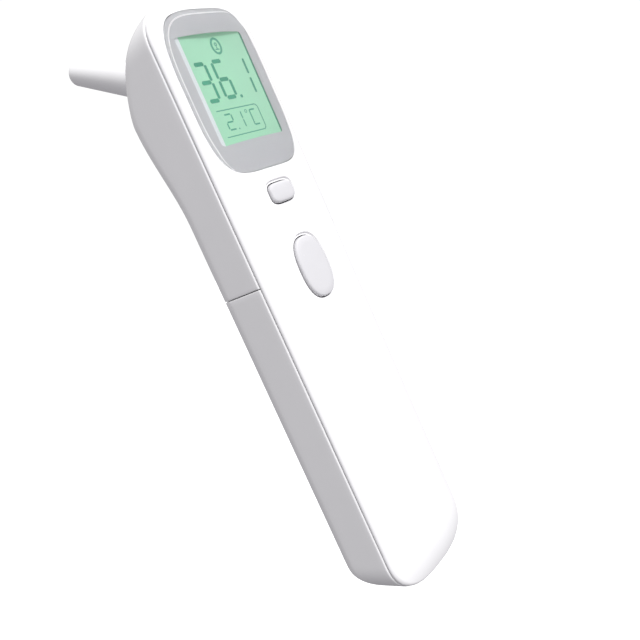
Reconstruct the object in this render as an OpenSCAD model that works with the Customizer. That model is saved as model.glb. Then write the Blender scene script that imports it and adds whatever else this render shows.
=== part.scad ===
// Hand-held ear thermometer: a slim two-shell body with a display, two push
// buttons, a sliding battery cover and a sensing probe behind the head.
// Modelled upright in millimetres: +Z up the body, the display faces -Y and
// the probe points back and up. Shapes are laid out from the bottom end of
// the body and from the seam plane, then moved so that the origin lies in
// the middle of the hand grip.

/* [Body] */
// Length of the body from its bottom end to the top of the head
body_len = 149.5; // [149:0.5:151]
// Width of the body
body_w = 32.6; // [32.4:0.1:33]
// Depth of the handle from the seam to its flat back
handle_depth = 16.2; // [16.2:0.1:16.8]
// Extra depth of the head behind the display
head_bulge = 3.5; // [3:0.1:4]
// Rise of the domed front above its rim
dome_h = 2.4; // [2.2:0.1:2.6]
// Wall thickness of both shells
wall = 1.6; // [1.5:0.05:1.7]

/* [Display] */
// Width of the clear lens
lens_w = 27.4; // [27:0.1:27.6]
// Height of the clear lens
lens_h = 39.6; // [39:0.1:40]
// Width of the window in the printed mask
window_w = 19.8; // [19:0.1:20.2]
// Height of the window in the printed mask
window_h = 25.4; // [25:0.1:26]

/* [Buttons] */
// Width of the mode button
mode_w = 7.8; // [7.4:0.1:8]
// Height of the mode button
mode_h = 4.8; // [4.6:0.1:5]
// Travel of the mode button
mode_travel = 0.5; // [0.3:0.05:0.6]
// Width of the scan button
scan_w = 9.6; // [9:0.1:9.8]
// Height of the scan button
scan_h = 15.2; // [14:0.1:15.6]
// Travel of the scan button
scan_travel = 0.6; // [0.3:0.05:0.6]

/* [Probe] */
// Length of the probe in front of the head's surface
probe_len = 37.6; // [35:0.2:38]
// Radius at the tip of the probe
tip_r = 3.2; // [3.1:0.05:3.4]
// Angle of the probe above square to the body
probe_tilt = 30; // [29:0.5:31]

/* [Batteries] */
// Length of one cell without its button
cell_len = 43.4; // [43:0.1:43.5]
// Diameter of one cell
cell_d = 10.4; // [10.2:0.05:10.45]

/* [Hidden] */

// Grip centre: the origin, measured from the bottom end and the seam plane
grip_z = 46;
grip_y = 6.4;

// Body outline and section
half_body = body_w / 2;
end_h = 11;          // height of each rounded end of the outline
end_n = 2.6;         // squareness of the rounded ends
heel_h = 9;          // height over which the back rounds into the bottom end
heel_n = 2.2;
edge_h = 1.0;        // rim height of the front shell at the seam
dome_n = 2.4;        // flatness of the domed front
seam_gap = 0.3;      // open seam between the shells
corner_r = 5.5;      // back corners of the section
swell_z = 102;       // where the head starts to deepen
peak_z = 128;        // where the head is deepest
brow_n = 1.5;        // shape of the slope above the deepest point
split_z = 82.6;      // top of the battery cover
gap = 0.3;           // play between parts that move past each other
arc_steps = 8;
end_steps = 10;
dome_steps = 24;
part_fn = 48;

// Display stack
lens_z = 127;        // middle height of the lens
lens_r = 60;         // curve of the lens across its width
lens_top = -3.95;    // foremost line of the lens
lens_t = 1.1;
mask_t = 0.15;
lens_corner_n = 3.4;
lens_play = 0.12;
window_z = 127.2;
frame_w = 23;
frame_h = 31.2;
frame_t = 0.6;
glass_front = -1.1;
glass_t = 1.7;

// Circuit board
board_y = 2.2;
board_t = 1.2;
board_back = board_y + board_t;
board_top = 143;
board_wide = 12.6;
board_narrow = 6.4;
board_step_z = 84;
board_bottom = 64;
board_post_x = 10.5;
board_post_z = [88, 107];
boss_x = 9.8;
boss_z = 77;
boss_r = 2.6;
boss_end = 9.4;

// Buttons
mode_z = 101;
scan_z = 82;
cap_top = -3.95;
cap_gap = 0.25;
lip = 0.9;           // width of the bevelled lip around each button
lip_y = -2.95;
flange_y = -1.3;
stem_r = 1.4;
plunger_r = 1;
switch_y = 0.6;

// Side rails that guide the cover
rail_in = 13.2;
rail_out = half_body - wall - gap;
rail_top = 3.2;
groove_y = [1.2, 2.2];
groove_depth = 0.5;

// Probe, along its own axis from the surface of the head
probe_y = 16.2;
probe_z = 136.7;
probe_taper = 0.05;
flare_h = 15;
flare_r = 4.6;
seat_h = -0.9;
plug_r = 7.9;
plug_play = 0.1;
collar_r = 10.3;
flange_h = -4.15;    // back of the collar, which the probe's flange hooks behind
tip_round = 1.2;
sensor_bore = 2.1;

// Battery bay
cell_x = 5.4;
cell_y = 6.9;
bay_bottom = 10;
bay_top = 62;
plate_t = 0.4;
plate_h = 2.8;       // half height of a contact plate
tray_back = 9.4;

// Hollows inside the shells
front_rim = 4.2;     // solid rim around the hollow of the front shell
cavity_r = 63;       // curve of that hollow across the width
back_wall = 2.2;     // back of the head, thicker than its sides

// ---- Shape functions ----

function clamp01(v) = min(1, max(0, v));

function smooth(v) = let (c = clamp01(v)) c * c * (3 - 2 * c);

// Falls from 1 to 0 along a rounded end as u goes from 0 to 1
function taper(u, n) = u >= 1 ? 0 : pow(1 - pow(max(u, 0), n), 1 / n);

// Position within a rounded end of the outline, inset by d: 0 on the straight part
function end_u(z, d) =
    max(0, (end_h - z + d) / end_h, (z - body_len + d + end_h) / end_h);

// Half width of the body at height z, inset by d
function half_w(z, d) = (half_body - d) * taper(end_u(z, d), end_n);

// Depth of the rear behind the seam at height z, inset by d
function depth(z, d) =
    let (swell = head_bulge * smooth((z - swell_z) / (peak_z - swell_z)),
         brow = (z - peak_z) / (body_len - d - peak_z),
         heel = (heel_h - z + d) / heel_h)
    (handle_depth - d + swell) * taper(brow, brow_n) * taper(heel, heel_n);

// Front surface of the domed face
function front_y(x, z) =
    let (k = pow(pow(abs(x) / half_body, end_n) + pow(end_u(z, 0), end_n), 1 / end_n))
    -edge_h - dome_h * (1 - pow(min(1, k), dome_n));

// Heights of the sections through the bottom and the top end, inset by d
function low_end(d) =
    [for (i = [end_steps:-1:0]) d + end_h * (1 - pow(sin(86 * i / end_steps), 2 / end_n))];
function high_end(d) = [for (z = low_end(d)) body_len - z];
function reversed(list) = [for (i = [len(list) - 1:-1:0]) list[i]];

// Heights of the sections up the head
function head_rows(d) = concat(
    [for (i = [0:7]) swell_z + (peak_z - swell_z) * i / 8],
    [for (i = [0:14]) peak_z + (body_len - d - peak_z) * pow(sin(84 * i / 14), 1.2)]);

// Rear section of half width w and given depth: side walls, two rounded back
// corners of radius r and a flat back
function rear_section(w, deep, r, y0) = concat([[-w, y0]],
    [for (i = [0:arc_steps]) let (a = 180 - 90 * i / arc_steps)
        [-w + r + r * cos(a), deep - r + r * sin(a)]],
    [for (i = [0:arc_steps]) let (a = 90 - 90 * i / arc_steps)
        [w - r + r * cos(a), deep - r + r * sin(a)]],
    [[w, y0]]);

// Outer section of the rear at height z
function rear_ring(z) =
    let (w = half_w(z, 0), deep = depth(z, 0), r = min(corner_r, w * 0.8, deep * 0.8))
    [for (p = rear_section(w, deep, r, seam_gap / 2)) [p[0], p[1], z]];

// Section of the front: the domed face, closed along the seam
function front_ring(z) =
    let (w = half_w(z, 0))
    concat([[w, -seam_gap / 2, z]],
        [for (i = [0:dome_steps]) let (x = w * cos(180 * i / dome_steps)) [x, front_y(x, z), z]],
        [[-w, -seam_gap / 2, z]]);

// ---- Helper modules ----

// Moves geometry laid out from the bottom end and the seam to the grip origin
module in_body() {
    translate([0, -grip_y, -grip_z]) children();
}

// Closed solid through rings that all have the same number of points
module loft(rings) {
    n = len(rings[0]);
    m = len(rings);
    polyhedron(
        points = [for (ring = rings) each ring],
        faces = concat(
            [[for (i = [n - 1:-1:0]) i]],
            [[for (i = [0:n - 1]) (m - 1) * n + i]],
            [for (j = [0:m - 2], i = [0:n - 1])
                let (a = j * n + i, b = j * n + (i + 1) % n)
                each [[a, b + n, a + n], [a, b, b + n]]]));
}

// Box from one corner to the opposite corner
module span(from, to) {
    translate(from) cube(to - from);
}

// Cylinder along Y from y0 to y1
module rod_y(r, y0, y1, x = 0, z = 0) {
    translate([x, y0, z]) rotate([-90, 0, 0]) cylinder(r = r, h = y1 - y0, $fn = part_fn);
}

// Flat outline in X and Z, extruded from y0 to y1
module slab(y0, y1) {
    translate([0, y1, 0]) rotate([90, 0, 0]) linear_extrude(y1 - y0) children();
}

// Outline in Y and Z, extruded across the whole width
module across() {
    translate([-body_w, 0, 0]) rotate([90, 0, 90]) linear_extrude(2 * body_w) children();
}

// Outline of the body in X and Z, inset by d
module body_outline(d) {
    rows = concat(low_end(d), reversed(high_end(d)));
    polygon(concat([for (z = rows) [half_w(z, d), z]],
        [for (z = reversed(rows)) [-half_w(z, d), z]]));
}

// Side view of the rear from height z0 upwards, inset by d
module rear_profile(d, z0) {
    rows = [for (z = concat(low_end(d), head_rows(d))) if (z > z0) z];
    polygon(concat([[-4, z0], [depth(z0, d), z0]], [for (z = rows) [depth(z, d), z]],
        [[-4, body_len - d]]));
}

// Upright pill outline centred on height z
module pill(w, h, z) {
    r = min(w, h) / 2;
    translate([0, z]) {
        square([w - (w > h ? 2 * r : 0), h - (w > h ? 0 : 2 * r)], center = true);
        for (s = [-1, 1])
            translate(w > h ? [s * (w / 2 - r), 0] : [0, s * (h / 2 - r)])
                circle(r, $fn = part_fn);
    }
}

// Lens outline: a rounded rectangle with softly bowed ends, grown by g
module lens_outline(g) {
    steps = 72;
    n = lens_corner_n;
    long_n = n * 1.35;
    polygon([for (i = [0:steps - 1])
        let (a = 360 * i / steps, c = cos(a), s = sin(a))
        [(lens_w / 2 + g) * sign(c) * pow(abs(c), 2 / long_n),
         lens_z + (lens_h / 2 + g) * sign(s) * pow(abs(s), 2 / n)]]);
}

// Everything behind the curve that lies t behind the front of the lens
module behind_lens(t) {
    translate([0, lens_top + lens_r, 0])
        cylinder(r = lens_r - t, h = 2 * body_len, $fn = 360);
}

// Moves geometry from the probe's own axis (+Z outwards) to its place
module on_probe() {
    in_body() translate([0, probe_y, probe_z]) rotate([probe_tilt - 90, 0, 0]) children();
}

function cone_r(h) =
    tip_r + (probe_len - h) * probe_taper
    + flare_r * pow(max(0, 1 - (h - seat_h) / flare_h), 2.5);

// ---- Shells ----

module front_shell() {
    rows = concat(low_end(0), [body_len / 2], reversed(high_end(0)));
    color("white") in_body() difference() {
        union() {
            difference() {
                loft([for (z = rows) front_ring(z)]);
                front_cavity();
            }
            for (s = [-1, 1]) {
                rod_y(boss_r, -1.6, boss_end, s * boss_x, boss_z);
                for (z = board_post_z) rod_y(1.9, -1.5, board_y, s * board_post_x, z);
                side_rail(s);
            }
        }
        difference() {
            slab(-10, 0) lens_outline(lens_play);
            behind_lens(lens_t + mask_t);
        }
        lcd_pocket();
        button_hole(mode_w, mode_h, mode_z);
        button_hole(scan_w, scan_h, scan_z);
        for (s = [-1, 1]) {
            rod_y(1, 1.5, boss_end + 1, s * boss_x, boss_z);
            for (z = board_post_z) rod_y(0.7, -1, board_y + 1, s * board_post_x, z);
        }
    }
}

// Hollow behind the front below the display, with a curved face
module front_cavity() {
    intersection() {
        slab(-4, 4) intersection() {
            body_outline(front_rim);
            translate([-body_w, 0]) square([2 * body_w, lens_z - lens_h / 2 - 2]);
        }
        translate([0, cavity_r - edge_h - dome_h + wall, 0])
            cylinder(r = cavity_r, h = body_len, $fn = 360);
    }
}

module side_rail(s) {
    middle = s * (rail_in + rail_out) / 2;
    thick = rail_out - rail_in;
    difference() {
        translate([middle - thick / 2, -0.6, 13]) cube([thick, rail_top + 0.6, 120]);
        translate([s * rail_out - groove_depth, groove_y[0], 10])
            cube([2 * groove_depth, groove_y[1] - groove_y[0], split_z - 10]);
    }
}

module lcd_pocket() {
    span([-frame_w / 2 - 0.1, glass_front - 0.1, lens_z - frame_h / 2 - 0.1],
        [frame_w / 2 + 0.1, 1, lens_z + frame_h / 2 + 0.1]);
    span([-window_w / 2 - 0.4, -6, window_z - window_h / 2 - 0.4],
        [window_w / 2 + 0.4, 1, window_z + window_h / 2 + 0.4]);
}

module button_hole(w, h, z) {
    slab(-10, 1) pill(w + 2 * cap_gap, h + 2 * cap_gap, z);
    slab(-10, lip_y) pill(w + 2 * lip, h + 2 * lip, z);
}

module rear_shell() {
    color("white") union() {
        difference() {
            union() {
                in_body() loft([for (z = concat([split_z], head_rows(0))) rear_ring(z)]);
                on_probe() translate([0, 0, flange_h])
                    cylinder(r = collar_r, h = seat_h - flange_h, $fn = 96);
            }
            in_body() intersection() {
                slab(-4, 40) body_outline(wall);
                across() rear_profile(back_wall, split_z - 1);
            }
            on_probe() {
                translate([0, 0, -8]) cylinder(r = plug_r + plug_play, h = 12, $fn = 96);
                translate([0, 0, seat_h])
                    cylinder(r = cone_r(seat_h) + plug_play, h = 12, $fn = 96);
            }
        }
        in_body() screw_tongue();
    }
}

// Tongue under the top of the battery cover that takes the housing screws
module screw_tongue() {
    difference() {
        union() {
            span([-13.6, boss_end, boss_z - 5], [13.6, boss_end + wall, split_z + 3]);
            span([-half_body + 0.8, boss_end, split_z + 0.3],
                [half_body - 0.8, boss_end + wall, split_z + 3]);
        }
        for (s = [-1, 1]) rod_y(1.2, boss_end - 1, boss_end + wall + 1, s * boss_x, boss_z);
    }
}

module battery_cover() {
    top = split_z - gap;
    deep = handle_depth - wall;
    latch_y = handle_depth - back_wall - gap;
    color("white") in_body() union() {
        difference() {
            loft([for (z = concat(low_end(0), [top])) rear_ring(z)]);
            intersection() {
                slab(-4, 40) body_outline(wall);
                across() rear_profile(wall, wall);
                linear_extrude(split_z + 2)
                    polygon(rear_section(half_body - wall, deep, corner_r - wall, -4));
            }
            for (i = [0:5])
                translate([-6, handle_depth + 0.5, 66 + 2 * i]) rotate([0, 90, 0])
                    cylinder(r = 0.9, h = 12, $fn = 24);
        }
        for (s = [-1, 1])
            translate([s * (rail_out + 0.25) - 0.6, groove_y[0] + 0.2, 15])
                cube([1.2, groove_y[1] - groove_y[0] - 0.4, 64]);
        span([-5, latch_y - 1.3, top - 4], [5, latch_y, top + 3.6]);
        span([-5, latch_y - 1.3, top - 4], [5, deep + 0.5, top - 1]);
    }
}

// ---- Display ----

module display_lens() {
    color("lightcyan") in_body() difference() {
        intersection() {
            slab(-10, 0) lens_outline(0);
            behind_lens(0);
        }
        behind_lens(lens_t);
    }
}

module lens_mask() {
    color("silver") in_body() difference() {
        intersection() {
            slab(-10, 0) lens_outline(-0.1);
            behind_lens(lens_t);
        }
        behind_lens(lens_t + mask_t);
        span([-window_w / 2, -10, window_z - window_h / 2], [window_w / 2, 1, window_z + window_h / 2]);
    }
}

module lcd_frame() {
    inner_w = frame_w - 2 * frame_t;
    inner_h = frame_h - 2 * frame_t;
    color("white") in_body() difference() {
        span([-frame_w / 2, glass_front, lens_z - frame_h / 2],
            [frame_w / 2, board_y, lens_z + frame_h / 2]);
        span([-inner_w / 2, -5, lens_z - inner_h / 2], [inner_w / 2, 5, lens_z + inner_h / 2]);
    }
}

module frame_fill(y0, y1, z0, z1) {
    w = frame_w / 2 - frame_t - 0.1;
    span([-w, y0, lens_z + z0], [w, y1, lens_z + z1]);
}

module lcd_glass() {
    color("lightgreen") in_body()
        frame_fill(glass_front, glass_front + glass_t, -14.9, 14.9);
}

module backlight_panel() {
    color("palegreen") in_body() frame_fill(glass_front + glass_t, board_y - 0.4, -12.4, 14.9);
}

module contact_strip() {
    color("dimgray") in_body() frame_fill(glass_front + glass_t, board_y, -14.8, -12.8);
}

// ---- Circuit board ----

module main_board() {
    color("seagreen") in_body() difference() {
        slab(board_y, board_y + board_t) polygon([
            [-board_narrow, board_bottom], [board_narrow, board_bottom],
            [board_narrow, board_step_z], [board_wide, board_step_z],
            [board_wide, board_top], [-board_wide, board_top],
            [-board_wide, board_step_z], [-board_narrow, board_step_z]]);
        for (s = [-1, 1], z = board_post_z)
            rod_y(0.95, 0, 5, s * board_post_x, z);
    }
}

module controller_chip() {
    color("black") in_body() union() {
        span([-5, board_back, 92], [5, board_back + 1.2, 102]);
        for (i = [0:7], s = [-1, 1])
            span([s * 5.4 - 0.4, board_back, 92.7 + 1.15 * i],
                [s * 5.4 + 0.4, board_back + 0.5, 93.2 + 1.15 * i]);
    }
}

module board_parts() {
    color("tan") in_body() {
        for (i = [0:4], s = [-1, 1])
            span([s * 8.6 - 0.9, board_back, 111 + 5 * i],
                [s * 8.6 + 0.9, board_back + 0.9, 112.1 + 5 * i]);
        for (s = [-1, 1])
            span([s * 8.6 - 1.4, board_back, 97], [s * 8.6 + 1.4, board_back + 1.5, 99.4]);
    }
}

module buzzer() {
    color("black") in_body() difference() {
        rod_y(5, board_back, board_back + 3, 0, 71);
        rod_y(0.8, board_back + 1.5, 9, 0, 71);
    }
}

module sensor_socket() {
    color("ivory") in_body() difference() {
        span([-4, board_back, 118.5], [4, board_back + 2.2, 122]);
        span([-3, board_back + 0.8, 120], [3, board_back + 1.4, 123]);
    }
}

// Flat ribbon cable from the socket to the back of the sensor holder
module sensor_flex() {
    y = board_back + 1.1;
    route = [[y, 120.1], [y, 123], [5.2, 125.5], [6.8, 128.4], [8.8, 131], [11.9, 133.8]];
    t = 0.15;
    last = len(route) - 1;
    side = [for (i = [0:last])
        let (d = route[min(i + 1, last)] - route[max(i - 1, 0)])
        t * [d[1], -d[0]] / norm(d)];
    color("orange") in_body() translate([-2.6, 0, 0])
        rotate([90, 0, 90]) linear_extrude(5.2) polygon(concat(
            [for (i = [0:last]) route[i] + side[i]],
            [for (i = [last:-1:0]) route[i] - side[i]]));
}

// ---- Buttons ----

// Height at which a button's stem rests on its plunger
function stem_end(travel) = switch_y - 0.15 - travel;

module button(w, h, z, travel) {
    step = 0.35;
    color("whitesmoke") in_body() union() {
        slab(cap_top, flange_y) pill(w - 2 * step, h - 2 * step, z);
        slab(cap_top + step, flange_y) pill(w, h, z);
        slab(flange_y, flange_y + 0.5) pill(w + 1.4, h + 1.4, z);
        rod_y(stem_r, flange_y, stem_end(travel), 0, z);
    }
}

module mode_button() { button(mode_w, mode_h, mode_z, mode_travel); }

module scan_button() { button(scan_w, scan_h, scan_z, scan_travel); }

module plunger(z, travel) {
    color("black") in_body() rod_y(plunger_r, stem_end(travel), switch_y + 0.5, 0, z);
}

module mode_plunger() { plunger(mode_z, mode_travel); }

module scan_plunger() { plunger(scan_z, scan_travel); }

module tact_switch(z) {
    color("silver") in_body() difference() {
        span([-3, switch_y, z - 2.5], [3, board_y, z + 2.5]);
        rod_y(plunger_r + 0.06, switch_y - 1, board_y - 0.3, 0, z);
    }
}

module mode_switch() { tact_switch(mode_z); }

module scan_switch() { tact_switch(scan_z); }

// ---- Probe ----

module probe_cone() {
    steps = 16;
    flare = [for (i = [0:steps]) let (h = seat_h + flare_h * i / steps) [cone_r(h), h]];
    nose = [for (i = [0:6]) let (a = 90 * i / 6)
        [tip_r - tip_round + tip_round * cos(a), probe_len - tip_round + tip_round * sin(a)]];
    color("white") on_probe() rotate_extrude($fn = 96) polygon(concat(
        [[6.9, -5.2], [9, -5.2], [9, -4.2], [plug_r, -4.2], [plug_r, -2.7], [7.2, -2.7],
         [7.2, -1.8], [plug_r, -1.8], [plug_r, seat_h]],
        flare, nose,
        [[sensor_bore, probe_len], [sensor_bore, probe_len - 14], [2.9, 14], [4.2, 6]]));
}

module seal_ring() {
    color("black") on_probe() translate([0, 0, -2.25])
        rotate_extrude($fn = 96) translate([7.58, 0]) circle(0.36, $fn = 24);
}

module probe_window() {
    color("gray") on_probe() translate([0, 0, probe_len - 0.9])
        cylinder(r = sensor_bore - 0.03, h = 0.5, $fn = 64);
}

module sensor_sleeve() {
    color("goldenrod") on_probe() difference() {
        translate([0, 0, 13]) cylinder(r = sensor_bore - 0.1, h = probe_len - 14, $fn = 64);
        translate([0, 0, 12]) cylinder(r = 1.5, h = probe_len, $fn = 64);
    }
}

module sensor_can() {
    color("lightgray") on_probe() union() {
        translate([0, 0, 9.4]) cylinder(r = 2.7, h = 0.6, $fn = 64);
        translate([0, 0, 9.4]) cylinder(r = 2.3, h = 3.6, $fn = 64);
    }
}

module sensor_holder() {
    color("gray") on_probe() difference() {
        rotate_extrude($fn = 64)
            polygon([[1.6, 9.4], [2.9, 9.4], [3.7, 6], [6.6, -4], [6.6, -5], [1.6, -5]]);
        translate([0, 0, -6]) cylinder(r = 1.7, h = 20, $fn = 48);
    }
}

// ---- Batteries ----

module battery_tray() {
    half = rail_in - 0.1;
    color("whitesmoke") in_body() difference() {
        span([-half, -seam_gap / 2, bay_bottom - 1.6], [half, tray_back, bay_top + 1.6]);
        for (s = [-1, 1]) {
            translate([s * cell_x, cell_y, bay_bottom])
                cylinder(d = cell_d + 0.3, h = bay_top - bay_bottom, $fn = 96);
            span([s * cell_x - cell_d / 2 - 0.15, cell_y, bay_bottom],
                [s * cell_x + cell_d / 2 + 0.15, 12, bay_top]);
        }
        span([-1.5, cell_y - 4.5, bay_bottom], [1.5, 12, bay_top]);
    }
}

// One cell standing on z0, its button up when up is 1 and down when up is -1
module cell(x, z0, up) {
    nub = 1;
    color("slategray") in_body() union() {
        translate([x, cell_y, z0]) cylinder(d = cell_d, h = cell_len, $fn = 96);
        translate([x, cell_y, up > 0 ? z0 + cell_len : z0 - nub])
            cylinder(r = 1.9, h = nub, $fn = 48);
    }
}

cell_low = bay_bottom + plate_t + 1;
cell_high = bay_top - plate_t - 1 - cell_len;

module battery_left() { cell(-cell_x, cell_high, 1); }

module battery_right() { cell(cell_x, cell_low, -1); }

// Coil of a battery spring: a wire swept along a narrowing helix
module coil(x, z0, dir) {
    turns = 4;
    per_turn = 16;
    wire = 0.3;
    rows = turns * per_turn;
    length = bay_top - bay_bottom - 2 * plate_t - 1 - cell_len;
    loft([for (i = [0:rows])
        let (a = 360 * i / per_turn, r = 3.9 - 1.9 * i / rows,
             z = dir * (wire + (length - 2 * wire) * i / rows))
        [for (j = [0:5]) let (b = 60 * j)
            [x + (r + wire * cos(b)) * cos(a), cell_y + (r + wire * cos(b)) * sin(a),
             z0 + z + wire * sin(b)]]]);
}

module battery_springs() {
    color("silver") in_body() {
        coil(-cell_x, bay_bottom + plate_t, 1);
        coil(cell_x, bay_top - plate_t, -1);
    }
}

// Upper contact plates, each with a tab that reaches the circuit board
module supply_contacts() {
    color("silver") in_body() for (s = [-1, 1]) {
        span([s * cell_x - 4.4, cell_y - plate_h, bay_top - plate_t],
            [s * cell_x + 4.4, tray_back + 0.6, bay_top]);
        span([s * cell_x - 1, tray_back + 0.2, bay_top],
            [s * cell_x + 1, tray_back + 0.6, bay_top + 1.9]);
        span([s * cell_x - 1, board_back, bay_top + 1.7],
            [s * cell_x + 1, tray_back + 0.6, bay_top + 1.9]);
        span([s * cell_x - 1, board_back, bay_top + 1.7],
            [s * cell_x + 1, board_back + 0.4, bay_top + 5]);
    }
}

module bridge_contact() {
    color("silver") in_body()
        span([-cell_x - 4.4, cell_y - plate_h, bay_bottom],
            [cell_x + 4.4, cell_y + plate_h, bay_bottom + plate_t]);
}

// ---- Fasteners ----

module housing_screws() {
    color("silver") in_body() for (s = [-1, 1]) difference() {
        union() {
            rod_y(0.95, 2.6, boss_end + wall, s * boss_x, boss_z);
            rod_y(2, boss_end + wall, boss_end + wall + 1.3, s * boss_x, boss_z);
        }
        cross_slot(boss_end + wall + 0.7, 3, s * boss_x, boss_z);
    }
}

module board_screws() {
    color("silver") in_body() for (s = [-1, 1], z = board_post_z) difference() {
        union() {
            rod_y(0.65, -0.8, board_back, s * board_post_x, z);
            rod_y(1.6, board_back, board_back + 1, s * board_post_x, z);
        }
        cross_slot(board_back + 0.5, 2.2, s * board_post_x, z);
    }
}

// Cross recess of a screw head, cut from y0 to the rear
module cross_slot(y0, length, x, z) {
    for (a = [0, 90])
        translate([x, y0, z]) rotate([0, a, 0]) translate([-length / 2, 0, -0.25])
            cube([length, 3, 0.5]);
}

front_shell();
display_lens();
lens_mask();
lcd_frame();
lcd_glass();
backlight_panel();
contact_strip();
main_board();
controller_chip();
board_parts();
buzzer();
sensor_socket();
sensor_flex();
mode_button();
mode_plunger();
mode_switch();
scan_button();
scan_plunger();
scan_switch();
rear_shell();
probe_cone();
probe_window();
sensor_sleeve();
sensor_can();
sensor_holder();
seal_ring();
battery_tray();
battery_left();
battery_right();
battery_springs();
supply_contacts();
bridge_contact();
housing_screws();
board_screws();
battery_cover();
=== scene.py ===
"""Hand-held ear thermometer: the visible pieces, their materials, the light and the camera."""
import math

import bmesh
import bpy
from mathutils import Matrix, Vector
from mathutils.bvhtree import BVHTree
from mathutils.interpolate import poly_3d_calc


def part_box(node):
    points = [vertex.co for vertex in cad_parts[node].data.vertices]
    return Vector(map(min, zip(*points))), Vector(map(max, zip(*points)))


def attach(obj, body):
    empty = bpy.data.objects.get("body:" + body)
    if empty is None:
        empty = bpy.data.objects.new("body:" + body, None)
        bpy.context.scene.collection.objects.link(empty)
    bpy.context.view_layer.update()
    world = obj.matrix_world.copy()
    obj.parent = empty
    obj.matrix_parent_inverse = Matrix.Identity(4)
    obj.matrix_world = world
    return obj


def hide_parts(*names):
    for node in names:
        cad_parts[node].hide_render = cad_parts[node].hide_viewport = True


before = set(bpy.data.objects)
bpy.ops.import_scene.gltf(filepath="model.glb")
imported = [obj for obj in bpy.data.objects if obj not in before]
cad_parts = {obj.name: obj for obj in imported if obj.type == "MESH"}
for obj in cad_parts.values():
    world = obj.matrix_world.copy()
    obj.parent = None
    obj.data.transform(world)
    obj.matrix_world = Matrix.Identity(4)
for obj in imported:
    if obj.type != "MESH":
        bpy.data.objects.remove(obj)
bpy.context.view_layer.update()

# Shapes are laid out in millimetres: z from the bottom end of the body, y from
# the seam between the two shells, x across.
LENGTH, HALF, HANDLE, BULGE = 149.5, 16.3, 16.2, 3.5
WALL, SPLIT = 1.6, 82.6
END_H, END_N = 11.0, 2.6
ORIGIN_Y, ORIGIN_Z = 6.4, 46.0  # where the part's own origin lies
SEAM_HALF = 0.15

# The lens and its mask are drawn 0.5 mm wider and 1.2 mm shorter than the CAD lens,
# with its middle 0.55 mm lower. CAD has it at 127.0, 13.7 and 19.8.
LENS_Z, LENS_HALF_W, LENS_HALF_H = 126.45, 13.95, 19.2
LENS_TOP, LENS_CURVE, LENS_T = -3.95, 60, 1.1
WINDOW_X, WINDOW_Z = -0.4, 127.2  # middle of the window in the mask; CAD has it at x = 0
LENS_STEPS = 160  # points round the lens, its mask and the window
KEY_STEPS = 96  # points round a key cap

PROBE_Y, PROBE_Z, PROBE_TILT, PROBE_LEN, TIP_R = 16.2, 136.7, 30.0, 37.6, 3.2
SEAT_H, COLLAR_R = -0.9, 10.3


def at(x, y, z):
    """Point given in body millimetres, in metres from the part's origin."""
    return Vector((x, y - ORIGIN_Y, z - ORIGIN_Z)) / 1000


def on_probe(r, angle, h):
    """Point at radius r and height h on the probe's own axis."""
    tilt = math.radians(PROBE_TILT)
    a, b = r * math.cos(angle), r * math.sin(angle)
    return (a, PROBE_Y + h * math.cos(tilt) - b * math.sin(tilt),
            PROBE_Z + h * math.sin(tilt) + b * math.cos(tilt))


# ---- Shape functions ----


def taper(u, n):
    return 0.0 if u >= 1 else (1 - max(u, 0.0) ** n) ** (1 / n)


def half_w(z, d=0.0):
    u = max(0.0, (END_H - z + d) / END_H, (z - LENGTH + d + END_H) / END_H)
    return (HALF - d) * taper(u, END_N)


def depth(z, d=0.0):
    c = min(1.0, max(0.0, (z - 102) / 26))
    swell = BULGE * c * c * (3 - 2 * c)
    return (HANDLE - d + swell) * taper((z - 128) / (LENGTH - d - 128), 1.5) * taper((9 - z + d) / 9, 2.2)


def dome_y(k):
    return -1.0 - 2.4 * (1 - min(1.0, k) ** 2.4)


def lens_y(x, back=0.0):
    """Curve across the lens, or the one that lies behind it."""
    return LENS_TOP + LENS_CURVE - math.sqrt((LENS_CURVE - back) ** 2 - x * x)


def signed(v, p):
    """Power of the size of v, with the sign of v."""
    return math.copysign(abs(v) ** p, v)


def spread(a, b, n):
    return [a + (b - a) * i / n for i in range(n + 1)]


# ---- Mesh helpers ----


def skin(rows, start=False, end=False):
    """Faces between rows of points, each row a closed loop, with caps if asked for."""
    n = len(rows[0])
    verts = [p for row in rows for p in row]
    faces = []
    for j in range(len(rows) - 1):
        for i in range(n):
            a, b = j * n + i, j * n + (i + 1) % n
            faces.append((a, b, b + n, a + n))
    if start:
        faces.append(tuple(reversed(range(n))))
    if end:
        faces.append(tuple((len(rows) - 1) * n + i for i in range(n)))
    return verts, faces


def joined(*parts):
    """Several (verts, faces) shapes as one."""
    verts, faces = [], []
    for v, f in parts:
        faces += [tuple(i + len(verts) for i in face) for face in f]
        verts += v
    return verts, faces


def build(name, geometry):
    verts, faces = geometry
    mesh = bpy.data.meshes.new(name)
    mesh.from_pydata([at(*v) for v in verts], [], faces)
    bm = bmesh.new()
    bm.from_mesh(mesh)
    bmesh.ops.remove_doubles(bm, verts=bm.verts, dist=2e-7)
    bmesh.ops.dissolve_degenerate(bm, edges=bm.edges, dist=1e-7)
    bmesh.ops.recalc_face_normals(bm, faces=bm.faces)
    bm.to_mesh(mesh)
    bm.free()
    return mesh


def soften(mesh):
    mesh.shade_smooth()
    mesh.set_sharp_from_angle(angle=math.radians(32))


def add(name, mesh, body, slot, *materials, smooth=True):
    if smooth:
        soften(mesh)
    obj = bpy.data.objects.new(name, mesh)
    bpy.context.scene.collection.objects.link(obj)
    for material in materials:
        mesh.materials.append(material)
    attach(obj, body)
    return obj


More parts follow.
